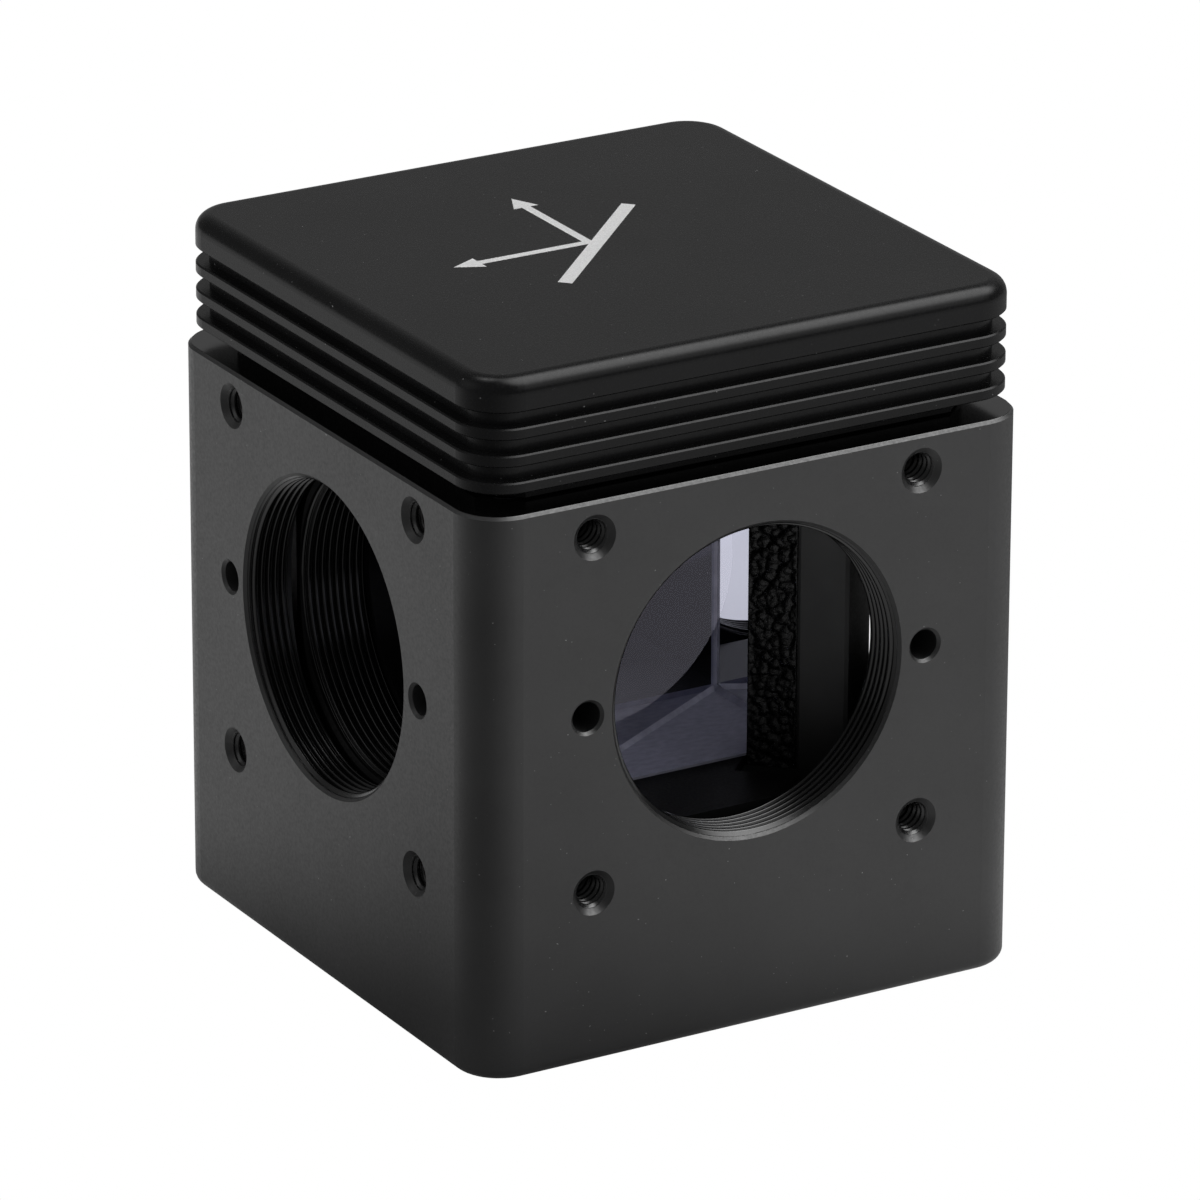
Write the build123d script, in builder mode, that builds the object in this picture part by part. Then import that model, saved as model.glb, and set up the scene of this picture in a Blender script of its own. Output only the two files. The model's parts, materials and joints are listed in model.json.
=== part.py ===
from build123d import *
from math import sqrt
import os

# Optical cage cube, 30 mm cage size, with a kinematic insert that lifts straight out.
# Millimetres, +Z up. The origin is the centre of the base's bottom face.
# The wide face that carries the front port is -Y, and the left port is -X.
# The prism's long face lies on the upright plane through the centre that holds the
# direction (1, 1), so light that comes in by the left port leaves by the back port.

# Base body
BASE_W = 50.8              # square footprint, 2 inches
BASE_H = 47.7
CORNER_R = 4.0             # upright outer corners, base and cap
FOOT_FILLET = 1.0          # round along the bottom edge
TOP_BREAK = 0.25           # chamfer along the top edge
PORT_DROP = 18.0           # top of the base to the optical axis
WALL_T = 4.0               # side wall between port face and cavity
CAVITY_FLAT = 20.8         # flat width of each cavity wall, between thick corner columns
FLOOR_T = 7.0              # base floor under the insert

# Ports: 1.035 inch, 40 turns an inch. The wall is at the thread's major radius.
PORT_R = 13.15
PORT_BREAK = 0.25          # chamfer at a port's mouth

# Cage holes and dowel holes in each side face
CAGE_SPACING = 30.0
CAGE_R = 1.42              # number 4 thread, major radius
CAGE_SINK_R = 1.9
CAGE_DEPTH = 5.5
DOWEL_SPACING = 31.2
DOWEL_R = 1.25
DOWEL_SINK_R = 1.5

# Post hole in the bottom face
POST_R = 2.08              # number 8 thread, major radius
POST_SINK_R = 2.5
POST_DEPTH = 5.5

# Insert cap: a grip plate with thin fins below it
CAP_INSET = 0.52           # base side face to cap side face
CAP_RISE = 11.05           # top of the base to the top of the cap
CAP_EDGE_R = 1.4
PLATE_T = 2.75
FIN_T = 0.95
GROOVE_W = 1.28
GROOVE_DEPTH = 1.1
FINS = 3
FIN_BREAK = 0.12           # chamfer along the edges of the fins and under the plate
NECK_STEP = 3.0            # base side face to neck side face
NECK_CORNER_CUT = 2.9
NECK_GAP = 0.2             # air between neck and base while the insert is seated

# Insert block
RUNNING_GAP = 0.75         # insert block to cavity wall, all round
UNDER_GAP = 1.0            # insert block to base floor
BORE_R = 12.2              # plain bore, just inside the prism's long face
THREAD_DEPTH = 6.3
BORE_BREAK = 0.3
BLOCK_BREAK = 0.4          # chamfer round the block's underside

# Prism mirror
PRISM_LEG = 25.0
PRISM_H = 25.0
PRISM_BEVEL = 0.4
CEILING_GAP = 1.2          # prism top to the block's ceiling

# Clamp bar and its foam pad. They stand across the diagonal, at the prism's right-angled edge.
CLAMP_W = 8.0              # bar and pad
CLAMP_EDGE_GAP = 0.07      # bar to where the prism's right-angled edge would be unbevelled
CLAMP_D = 4.25             # bar, along the diagonal
CLAMP_BREAK = 0.3
CLAMP_HEAD_GAP = 0.4       # clamp top to the ceiling
PAD_GAP = 0.01             # pad to prism and to bar
SLOT_W = 13.7              # guide slot along the diagonal in the block's floor
SLOT_DEPTH = 1.2
SLOT_SIDE_GAP = 0.1        # foot to the slot's sides
SLOT_END_GAP = 0.15
FOOT_T = 0.6
CLAMP_SCREW_R = 1.09       # number 2 thread
CLAMP_SCREW_BITE = 5.0     # thread length in the foot and the bar
CLAMP_SCREW_SPACING = 4.4
CLAMP_SCREW_TRAVEL = 0.9   # of the slotted holes in the block's floor
CLAMP_HOLE_GAP = 0.2       # screw to the sides of its slotted hole
CLAMP_HEAD_R = 1.78
CLAMP_HEAD_H = 2.1
CLAMP_HEAD_SINK = 0.2      # head to the block's underside
CLAMP_HEX_AF = 1.98        # hexagon socket, across flats
CLAMP_HEX_DEPTH = 1.0

# Cap screws: countersunk, from the block's ceiling up into the cap
CAP_SCREW_R = 1.42
CAP_SCREW_HEAD_R = 2.7
CAP_SCREW_HEX_AF = 1.6
CAP_SCREW_HEX_DEPTH = 1.0
CAP_SCREW_BITE = 5.0       # thread length in the cap
CAP_SCREW_INSET = 5.15     # outer screws, from the block's side faces
CAP_SCREW_IN = 5.5         # inner screws, from the centre
SCREW_FIT = 0.02           # screw to its hole, radial

# Kinematic coupling: three balls in a cone, a vee and on a flat
BALL_R = 1.25
BALL_INSET = 5.6           # ball centres, from the base's side faces
BALL_RISE = 0.35           # ball centre above the base's top face
BALL_FIT = 0.01
SEAT_R = 1.74
SEAT_HOLE_R = 1.75
SEAT_DEPTH = 3.5
SEAT_GAP = 0.01            # ball surface to its seat

# Magnets
MAGNET_R = 3.0
MAGNET_T = 2.5
MAGNET_INSET = 10.55       # from the block's side faces
MAGNET_FIT = 0.02

# Sizes that follow from those above
HALF = BASE_W / 2
PORT_Z = BASE_H - PORT_DROP
CAP_TOP_Z = BASE_H + CAP_RISE
CAVITY_W = BASE_W - 2 * WALL_T
CAVITY_R = (CAVITY_W - CAVITY_FLAT) / 2
CAP_W = BASE_W - 2 * CAP_INSET
NECK_W = BASE_W - 2 * NECK_STEP
INSERT_W = CAVITY_W - 2 * RUNNING_GAP
INSERT_R = CAVITY_R - RUNNING_GAP
BALL_AT = HALF - BALL_INSET
MAGNET_AT = INSERT_W / 2 - MAGNET_INSET
CAP_SCREW_OUT = INSERT_W / 2 - CAP_SCREW_INSET
INSERT_Z = FLOOR_T + UNDER_GAP
NECK_Z = BASE_H + NECK_GAP
PRISM_Z = PORT_Z - PRISM_H / 2
CEILING_Z = PRISM_Z + PRISM_H + CEILING_GAP
FIN_PITCH = FIN_T + GROOVE_W
FIN_BOTTOM_Z = CAP_TOP_Z - PLATE_T - FINS * FIN_PITCH
BALL_Z = BASE_H + BALL_RISE
FOOT_Z = PRISM_Z - SLOT_DEPTH
PRISM_EDGE = PRISM_LEG / sqrt(2)
CLAMP_IN = PRISM_EDGE + CLAMP_EDGE_GAP
CLAMP_OUT = CLAMP_IN + CLAMP_D
CLAMP_MIDDLE = CLAMP_IN + CLAMP_D / 2
PAD_TIP = PRISM_EDGE - CLAMP_W / 2
FOOT_START = PAD_TIP - SLOT_END_GAP / 2
SLOT_START = PAD_TIP - 2 * SLOT_END_GAP
CLAMP_HEAD_Z = INSERT_Z + CLAMP_HEAD_SINK
CLAMP_SCREW_PLACES = [
    (CLAMP_MIDDLE, -CLAMP_SCREW_SPACING / 2),
    (CLAMP_MIDDLE, CLAMP_SCREW_SPACING / 2),
]

# The four side faces: the outward direction and the direction along the face
FACES = {
    "front": (Vector(0, -1, 0), Vector(1, 0, 0)),
    "right": (Vector(1, 0, 0), Vector(0, 1, 0)),
    "back": (Vector(0, 1, 0), Vector(-1, 0, 0)),
    "left": (Vector(-1, 0, 0), Vector(0, -1, 0)),
}

# The diagonal from the prism's right-angled edge to the insert's open corner
DIAGONAL = Vector(1, -1, 0).normalized()


def face_plane(side, distance):
    """A plane on one side face, its normal outward and its origin on the port's axis."""
    outward, along = FACES[side]
    return Plane(origin=outward * distance + Vector(0, 0, PORT_Z), x_dir=along, z_dir=outward)


def diagonal_plane(height):
    """A level plane at a height, its X along the diagonal to the open corner."""
    return Plane(origin=(0, 0, height), x_dir=DIAGONAL, z_dir=(0, 0, 1))


def outer_edges(piece, height):
    """The edges of a piece's widest outline at one height."""
    edges = piece.edges().filter_by_position(Axis.Z, height, height)
    reach = CAP_W / 2 - GROOVE_DEPTH / 2
    return edges.filter_by(
        lambda edge: max(abs(edge.center().X), abs(edge.center().Y)) > reach - CORNER_R / 4
        and edge.distance_to(Vertex(0, 0, height)) > reach
    )


def finish(piece, name):
    """Label a piece and write it to its own file."""
    piece.part.label = name
    export_step(piece.part, f"parts/{name}.step")


os.makedirs("parts", exist_ok=True)

# Where each ball sits: the cone and the vee share the back edge, and the flat is at the left
BALL_PLACES = {
    "cone": (-BALL_AT, BALL_AT),
    "vee": (BALL_AT, BALL_AT),
    "flat": (-BALL_AT, -BALL_AT),
}

# The cap screws lie on the open side of the prism's plane
CAP_SCREW_PLACES = [
    (CAP_SCREW_OUT, CAP_SCREW_IN),
    (CAP_SCREW_OUT, -CAP_SCREW_OUT),
    (-CAP_SCREW_IN, -CAP_SCREW_OUT),
    (CAP_SCREW_IN, -CAP_SCREW_IN),
]

# Base body: a block with four ports, a cavity from the top and seats in three corner columns
with BuildPart() as base_body:
    with BuildSketch(Plane.XY):
        RectangleRounded(BASE_W, BASE_W, CORNER_R)
    extrude(amount=BASE_H)
    fillet(base_body.faces().sort_by(Axis.Z)[0].edges(), radius=FOOT_FILLET)
    chamfer(base_body.faces().sort_by(Axis.Z)[-1].edges(), length=TOP_BREAK)
    with BuildSketch(Plane.XY.offset(FLOOR_T)):
        RectangleRounded(CAVITY_W, CAVITY_W, CAVITY_R)
    extrude(amount=BASE_H, mode=Mode.SUBTRACT)
    for side in FACES:
        with Locations(face_plane(side, HALF)):
            CounterSinkHole(PORT_R, PORT_R + PORT_BREAK, depth=2 * WALL_T, counter_sink_angle=90)
            with GridLocations(CAGE_SPACING, CAGE_SPACING, 2, 2):
                CounterSinkHole(CAGE_R, CAGE_SINK_R, depth=CAGE_DEPTH, counter_sink_angle=90)
            with GridLocations(DOWEL_SPACING, 0, 2, 1):
                CounterSinkHole(DOWEL_R, DOWEL_SINK_R, depth=1.5 * WALL_T, counter_sink_angle=90)
    with Locations(Plane.XY.rotated((180, 0, 0))):
        CounterSinkHole(POST_R, POST_SINK_R, depth=POST_DEPTH, counter_sink_angle=90)
    with BuildSketch(Plane.XY.offset(BASE_H)):
        with Locations(*BALL_PLACES.values()):
            Circle(SEAT_HOLE_R)
    extrude(amount=-SEAT_DEPTH, mode=Mode.SUBTRACT)
    with BuildSketch(Plane.XY.offset(FLOOR_T)):
        with GridLocations(2 * MAGNET_AT, 2 * MAGNET_AT, 2, 2):
            Circle(MAGNET_R + MAGNET_FIT)
    extrude(amount=-MAGNET_T, mode=Mode.SUBTRACT)
finish(base_body, "base_body")

# Seats: hardened plugs. The ball touches the cone and the vee at 45 degrees.
CONE_DROP = (BALL_R + SEAT_GAP) * sqrt(2)
CONE_R = CONE_DROP - BALL_RISE
for name, (x, y) in BALL_PLACES.items():
    with BuildPart() as seat:
        with BuildSketch(Plane((x, y, BASE_H - SEAT_DEPTH))):
            Circle(SEAT_R)
        if name == "flat":
            extrude(amount=SEAT_DEPTH - (BALL_R + SEAT_GAP - BALL_RISE))
        else:
            extrude(amount=SEAT_DEPTH)
        if name == "cone":
            with Locations((x, y, BASE_H - CONE_R / 2)):
                Cone(0, CONE_R, CONE_R, mode=Mode.SUBTRACT)
        if name == "vee":
            with BuildSketch(Plane(origin=(x, y, BASE_H), x_dir=(0, 1, 0), z_dir=(1, 0, 0))):
                with BuildLine():
                    Polyline((-CONE_R, 0), (0, -CONE_R), (CONE_R, 0), close=True)
                make_face()
            extrude(amount=2 * SEAT_R, both=True, mode=Mode.SUBTRACT)
    finish(seat, f"{name}_seat")

    with BuildPart() as ball:
        with Locations((x, y, BALL_Z)):
            Sphere(BALL_R)
    finish(ball, f"{name}_ball")

# Insert cap: fins and grooves in turn, then the plate, with the neck below
with BuildPart() as insert_cap:
    with BuildSketch(Plane.XY.offset(NECK_Z)):
        neck = Rectangle(NECK_W, NECK_W)
        chamfer(neck.vertices(), length=NECK_CORNER_CUT)
    extrude(amount=FIN_BOTTOM_Z - NECK_Z)
    with BuildSketch(Plane.XY.offset(FIN_BOTTOM_Z)):
        RectangleRounded(CAP_W - 2 * GROOVE_DEPTH, CAP_W - 2 * GROOVE_DEPTH, CORNER_R - GROOVE_DEPTH)
    extrude(amount=CAP_TOP_Z - PLATE_T - FIN_BOTTOM_Z)
    for fin in range(FINS):
        fin_z = FIN_BOTTOM_Z + fin * FIN_PITCH
        with BuildSketch(Plane.XY.offset(fin_z)):
            RectangleRounded(CAP_W, CAP_W, CORNER_R)
        extrude(amount=FIN_T)
        chamfer(outer_edges(insert_cap, fin_z) + outer_edges(insert_cap, fin_z + FIN_T), length=FIN_BREAK)
    with BuildSketch(Plane.XY.offset(CAP_TOP_Z - PLATE_T)):
        RectangleRounded(CAP_W, CAP_W, CORNER_R)
    extrude(amount=PLATE_T)
    chamfer(outer_edges(insert_cap, CAP_TOP_Z - PLATE_T), length=FIN_BREAK)
    fillet(insert_cap.faces().sort_by(Axis.Z)[-1].edges(), radius=CAP_EDGE_R)
    with BuildSketch(Plane.XY.offset(NECK_Z)):
        with Locations(*BALL_PLACES.values()):
            Circle(BALL_R + BALL_FIT)
    extrude(amount=BALL_Z + BALL_R + BALL_FIT - NECK_Z, mode=Mode.SUBTRACT)
    with BuildSketch(Plane.XY.offset(NECK_Z)):
        with Locations(*CAP_SCREW_PLACES):
            Circle(CAP_SCREW_R + SCREW_FIT)
    extrude(amount=CAP_SCREW_BITE + SCREW_FIT, mode=Mode.SUBTRACT)
finish(insert_cap, "insert_cap")

# Insert block: two threaded bores meet at a right angle, and the side away from them is cut
# away to a flat seat at 45 degrees for the prism, with a floor and a ceiling left standing
REACH = BASE_W             # longer than any cut through the insert
with BuildPart() as insert_block:
    with BuildSketch(Plane.XY.offset(INSERT_Z)):
        RectangleRounded(INSERT_W, INSERT_W, INSERT_R)
    extrude(amount=NECK_Z - INSERT_Z)
    chamfer(insert_block.faces().sort_by(Axis.Z)[0].edges(), length=BLOCK_BREAK)
    for side in ("left", "back"):
        with BuildSketch(face_plane(side, 0)):
            Circle(BORE_R)
        extrude(amount=INSERT_W, mode=Mode.SUBTRACT)
        with BuildSketch(face_plane(side, INSERT_W / 2)):
            Circle(PORT_R)
        extrude(amount=-THREAD_DEPTH, mode=Mode.SUBTRACT)
        with Locations(face_plane(side, INSERT_W / 2 - BORE_BREAK / 2)):
            Cone(PORT_R, PORT_R + BORE_BREAK, BORE_BREAK, mode=Mode.SUBTRACT)
    with BuildSketch(Plane.XY.offset(PRISM_Z)):
        Polygon((-REACH, -REACH), (REACH, REACH), (REACH, -REACH), align=None)
    extrude(amount=CEILING_Z - PRISM_Z, mode=Mode.SUBTRACT)
    with BuildSketch(diagonal_plane(PRISM_Z)):
        with Locations((SLOT_START, 0)):
            Rectangle(REACH, SLOT_W, align=(Align.MIN, Align.CENTER))
    extrude(amount=-SLOT_DEPTH, mode=Mode.SUBTRACT)
    for radius, top in (
        (CLAMP_SCREW_R + CLAMP_HOLE_GAP, FOOT_Z),
        (CLAMP_HEAD_R + CLAMP_HOLE_GAP, CLAMP_HEAD_Z + CLAMP_HEAD_H),
    ):
        with BuildSketch(diagonal_plane(INSERT_Z)):
            with Locations(*CLAMP_SCREW_PLACES):
                SlotCenterToCenter(CLAMP_SCREW_TRAVEL, 2 * radius)
        extrude(amount=top - INSERT_Z, mode=Mode.SUBTRACT)
    with Locations(Plane(origin=(0, 0, CEILING_Z), x_dir=(1, 0, 0), z_dir=(0, 0, -1))):
        with Locations(*[(x, -y) for x, y in CAP_SCREW_PLACES]):
            CounterSinkHole(
                CAP_SCREW_R + SCREW_FIT,
                CAP_SCREW_HEAD_R + SCREW_FIT,
                depth=2 * (NECK_Z - CEILING_Z),
                counter_sink_angle=90,
            )
    with BuildSketch(Plane.XY.offset(INSERT_Z)):
        with GridLocations(2 * MAGNET_AT, 2 * MAGNET_AT, 2, 2):
            Circle(MAGNET_R + MAGNET_FIT)
    extrude(amount=MAGNET_T, mode=Mode.SUBTRACT)
finish(insert_block, "insert_block")

# Prism mirror: its long face is the mirror, flat on the block's 45 degree seat
with BuildPart() as prism_mirror:
    with BuildSketch(Plane.XY.offset(PRISM_Z)):
        leg = PRISM_LEG / 2
        Polygon((-leg, -leg), (leg, leg), (leg, -leg), align=None)
    extrude(amount=PRISM_H)
    chamfer(prism_mirror.edges(), length=PRISM_BEVEL)
finish(prism_mirror, "prism_mirror")

# Foam pad: squeezed between the prism's right-angled edge and the bar, so it fills the corners
# on both sides of the edge
with BuildPart() as foam_pad:
    with BuildSketch(diagonal_plane(FOOT_Z + FOOT_T)):
        side = CLAMP_W / 2
        blunt = PRISM_BEVEL / sqrt(2)
        with BuildLine():
            Polyline(
                (PAD_TIP, -side), (CLAMP_IN, -side), (CLAMP_IN, side), (PAD_TIP, side),
                (PRISM_EDGE - blunt, blunt), (PRISM_EDGE - blunt, -blunt),
                close=True,
            )
        make_face()
        offset(amount=-PAD_GAP, kind=Kind.INTERSECTION, mode=Mode.REPLACE)
    extrude(amount=PRISM_Z + PRISM_H - FOOT_Z - FOOT_T)
finish(foam_pad, "foam_pad")

# Clamp bar: an upright bar on a thin foot. The foot lies in the guide slot, under the pad.
with BuildPart() as clamp_bar:
    with BuildSketch(diagonal_plane(FOOT_Z)):
        with Locations((CLAMP_IN, 0)):
            Rectangle(CLAMP_D, CLAMP_W, align=(Align.MIN, Align.CENTER))
    extrude(amount=CEILING_Z - CLAMP_HEAD_GAP - FOOT_Z)
    chamfer(clamp_bar.edges().filter_by(Axis.Z), length=CLAMP_BREAK)
    chamfer(clamp_bar.faces().sort_by(Axis.Z)[-1].edges(), length=CLAMP_BREAK)
    with BuildSketch(diagonal_plane(FOOT_Z)):
        with Locations((FOOT_START, 0)):
            Rectangle(
                CLAMP_OUT - FOOT_START, SLOT_W - 2 * SLOT_SIDE_GAP, align=(Align.MIN, Align.CENTER)
            )
        foot_w = INSERT_W - 2 * SLOT_SIDE_GAP
        RectangleRounded(foot_w, foot_w, INSERT_R - SLOT_SIDE_GAP, rotation=45, mode=Mode.INTERSECT)
    extrude(amount=FOOT_T)
    with BuildSketch(diagonal_plane(FOOT_Z)):
        with Locations(*CLAMP_SCREW_PLACES):
            Circle(CLAMP_SCREW_R + SCREW_FIT)
    extrude(amount=CLAMP_SCREW_BITE + SCREW_FIT, mode=Mode.SUBTRACT)
finish(clamp_bar, "clamp_bar")

# Clamp screws: cap heads with a hexagon socket, from the block's underside up into the bar
for name, place in zip(("front", "side"), CLAMP_SCREW_PLACES):
    with BuildPart() as clamp_screw:
        with BuildSketch(diagonal_plane(CLAMP_HEAD_Z)):
            with Locations(place):
                Circle(CLAMP_HEAD_R)
        extrude(amount=CLAMP_HEAD_H)
        chamfer(clamp_screw.faces().sort_by(Axis.Z)[0].edges(), length=CLAMP_HEAD_R / 8)
        with BuildSketch(diagonal_plane(CLAMP_HEAD_Z)):
            with Locations(place):
                RegularPolygon(CLAMP_HEX_AF / 2, 6, major_radius=False)
        extrude(amount=CLAMP_HEX_DEPTH, mode=Mode.SUBTRACT)
        with BuildSketch(diagonal_plane(CLAMP_HEAD_Z + CLAMP_HEAD_H)):
            with Locations(place):
                Circle(CLAMP_SCREW_R)
        extrude(amount=FOOT_Z + CLAMP_SCREW_BITE - CLAMP_HEAD_Z - CLAMP_HEAD_H)
    finish(clamp_screw, f"clamp_screw_{name}")

# Cap screws: flat heads flush with the ceiling, up through the block into the cap
HEAD_H = CAP_SCREW_HEAD_R - CAP_SCREW_R
for number, (x, y) in enumerate(CAP_SCREW_PLACES, start=1):
    with BuildPart() as cap_screw:
        with BuildSketch(Plane((x, y, CEILING_Z))):
            Circle(CAP_SCREW_R)
        extrude(amount=NECK_Z + CAP_SCREW_BITE - CEILING_Z)
        with Locations((x, y, CEILING_Z + HEAD_H / 2)):
            Cone(CAP_SCREW_HEAD_R, CAP_SCREW_R, HEAD_H)
        with BuildSketch(Plane((x, y, CEILING_Z))):
            RegularPolygon(CAP_SCREW_HEX_AF / 2, 6, major_radius=False)
        extrude(amount=CAP_SCREW_HEX_DEPTH, mode=Mode.SUBTRACT)
    finish(cap_screw, f"cap_screw_{number}")

# Magnets: four flush in the base's floor and four flush in the insert's underside
corners = [(-1, -1), (1, -1), (1, 1), (-1, 1)]
for name, bottom in {"base": FLOOR_T - MAGNET_T, "insert": INSERT_Z}.items():
    for number, (i, j) in enumerate(corners, start=1):
        with BuildPart() as magnet:
            with BuildSketch(Plane((i * MAGNET_AT, j * MAGNET_AT, bottom))):
                Circle(MAGNET_R)
            extrude(amount=MAGNET_T)
        finish(magnet, f"{name}_magnet_{number}")
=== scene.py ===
# %% [markdown]
# # An optical cage cube and its mirror insert
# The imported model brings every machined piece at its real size. This lesson adds what a
# milling machine and a glass shop leave on them: thread turns, a polished prism, open-celled
# foam, the marked beam sign and the finish of each surface.

# %% Load the machined pieces
import json
import math

import bmesh
import bpy
import numpy as np
from mathutils import Matrix, Vector


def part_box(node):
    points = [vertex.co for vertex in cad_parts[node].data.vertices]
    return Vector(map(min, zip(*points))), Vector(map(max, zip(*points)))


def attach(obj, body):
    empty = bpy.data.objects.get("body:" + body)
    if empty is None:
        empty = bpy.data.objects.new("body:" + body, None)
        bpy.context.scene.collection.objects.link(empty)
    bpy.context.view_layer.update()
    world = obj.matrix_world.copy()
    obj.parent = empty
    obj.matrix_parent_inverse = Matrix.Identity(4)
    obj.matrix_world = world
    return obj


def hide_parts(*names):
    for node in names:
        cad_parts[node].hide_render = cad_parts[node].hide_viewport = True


MM = 0.001
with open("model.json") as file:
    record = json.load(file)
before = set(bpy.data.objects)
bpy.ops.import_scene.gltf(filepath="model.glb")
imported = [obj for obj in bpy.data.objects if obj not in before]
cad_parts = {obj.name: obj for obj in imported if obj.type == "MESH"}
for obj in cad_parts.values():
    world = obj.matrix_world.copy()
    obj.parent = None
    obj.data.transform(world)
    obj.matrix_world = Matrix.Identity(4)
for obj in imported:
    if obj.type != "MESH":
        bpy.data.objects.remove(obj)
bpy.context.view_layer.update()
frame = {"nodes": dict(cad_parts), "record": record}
nodes = frame["nodes"]
mount = {m["name"]: m for m in frame["record"]["mounts"]}
port_z = mount["front_port"]["pos_m"][2]
print("machined pieces:", len(nodes), "optical axis at", round(port_z / MM, 2), "mm")

# %% [markdown]
# ## The camera first
# The picture was taken with a long lens from the left of the front port and a little above.
# A long lens keeps upright edges nearly parallel. The camera looks along three angles, and its
# distance and focal length are kept as real sizes, so every part falls where it does in the
# picture.

# %% Camera
AZIMUTH, ELEVATION, ROLL = math.radians(-30.413), math.radians(21.258), math.radians(0.199)
DISTANCE = 733.18 * MM
LENS, SENSOR = 270.38, 36.0
AIM_RIGHT, AIM_UP = 0.319 * MM, -1.554 * MM
NEAREST, FARTHEST = 0.1, 20


def photo_camera():
    """Camera axes from azimuth and elevation, turned by the roll, at a distance from the axis."""
    back = Vector((
        math.sin(AZIMUTH) * math.cos(ELEVATION),
        -math.cos(AZIMUTH) * math.cos(ELEVATION),
        math.sin(ELEVATION),
    ))
    level = Vector((math.cos(AZIMUTH), math.sin(AZIMUTH), 0))
    upward = back.cross(level)
    right = level * math.cos(ROLL) + upward * math.sin(ROLL)
    up = upward * math.cos(ROLL) - level * math.sin(ROLL)
    place = Vector((0, 0, port_z)) + right * AIM_RIGHT + up * AIM_UP + back * DISTANCE
    lens = bpy.data.cameras.new("photo_camera")
    lens.sensor_width, lens.lens = SENSOR, LENS
    lens.clip_start, lens.clip_end = NEAREST, FARTHEST
    camera = bpy.data.objects.new("photo_camera", lens)
    axes = Matrix((right, up, back)).transposed()
    camera.matrix_world = Matrix.Translation(place) @ axes.to_4x4()
    bpy.context.scene.collection.objects.link(camera)
    return camera


bpy.context.scene.camera = photo_camera()
print("camera stands", round(DISTANCE, 3), "m away with a", round(LENS), "mm lens")

# %% [markdown]
# ## Helpers for materials
# A finish is a small node tree round one Principled shader. Every pattern reads Object
# coordinates, which are metres on this object, so a grain of a tenth of a millimetre is a noise
# with a scale of ten thousand. The helpers take a number, a colour or another node's output in
# the same place, so a recipe reads like a formula.

# %% Node helpers
def new_finish(name):
    """An empty material with its Principled shader: (material, node tree, shader)."""
    material = bpy.data.materials.new(name)
    material.use_nodes = True
    tree = material.node_tree
    return material, tree, tree.nodes["Principled BSDF"]


def feed(tree, socket, value):
    """Links another node's output to a socket, or sets it to a number, vector or colour."""
    if isinstance(value, bpy.types.NodeSocket):
        tree.links.new(value, socket)
    elif isinstance(value, tuple):
        socket.default_value = (*value, 1)
    else:
        socket.default_value = value


def noise(tree, size, detail=3.0, offset=(0, 0, 0)):
    """A noise whose blobs are about size metres wide, read on Object coordinates."""
    place = tree.nodes.new("ShaderNodeTexCoord")
    shift = tree.nodes.new("ShaderNodeMapping")
    shift.inputs["Location"].default_value = offset
    grain = tree.nodes.new("ShaderNodeTexNoise")
    grain.inputs["Scale"].default_value = 1 / size
    grain.inputs["Detail"].default_value = detail
    tree.links.new(place.outputs["Object"], shift.inputs["Vector"])
    tree.links.new(shift.outputs["Vector"], grain.inputs["Vector"])
    return grain.outputs["Fac"]


def spread(tree, value, low, high, out_low=0.0, out_high=1.0):
    """The part of a value between low and high, stretched to out_low and out_high."""
    stretch = tree.nodes.new("ShaderNodeMapRange")
    for socket, number in zip(("From Min", "From Max", "To Min", "To Max"),
                              (low, high, out_low, out_high)):
        stretch.inputs[socket].default_value = number
    tree.links.new(value, stretch.inputs["Value"])
    return stretch.outputs["Result"]


def maths(tree, operation, *values):
    """One Math node. Each value is a socket or a number."""
    node = tree.nodes.new("ShaderNodeMath")
    node.operation = operation
    for socket, value in zip(node.inputs, values):
        feed(tree, socket, value)
    return node.outputs["Value"]


def vector_maths(tree, operation, result, *values):
    """One Vector Math node and its output named result. Each value is a socket or a Vector."""
    node = tree.nodes.new("ShaderNodeVectorMath")
    node.operation = operation
    for socket, value in zip(node.inputs, values):
        feed(tree, socket, value)
    return node.outputs[result]


def blend(tree, factor, first, second, kind="RGBA", way="MIX"):
    """Goes from first to second with the factor: colours, or numbers where kind is FLOAT."""
    node = tree.nodes.new("ShaderNodeMix")
    node.data_type, node.blend_type = kind, way
    for name, value in (("Factor", factor), ("A", first), ("B", second)):
        feed(tree, node.inputs[name], value)
    return node.outputs["Result"]


def bump(tree, shader, height, depth):
    """Tilts the shader's normal by a height map whose full step is depth metres."""
    relief = tree.nodes.new("ShaderNodeBump")
    relief.inputs["Distance"].default_value = depth
    tree.links.new(height, relief.inputs["Height"])
    tree.links.new(relief.outputs["Normal"], shader.inputs["Normal"])


print("helpers ready, a grain of 0.1 mm has the scale", round(1 / (0.1 * MM)))
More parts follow.
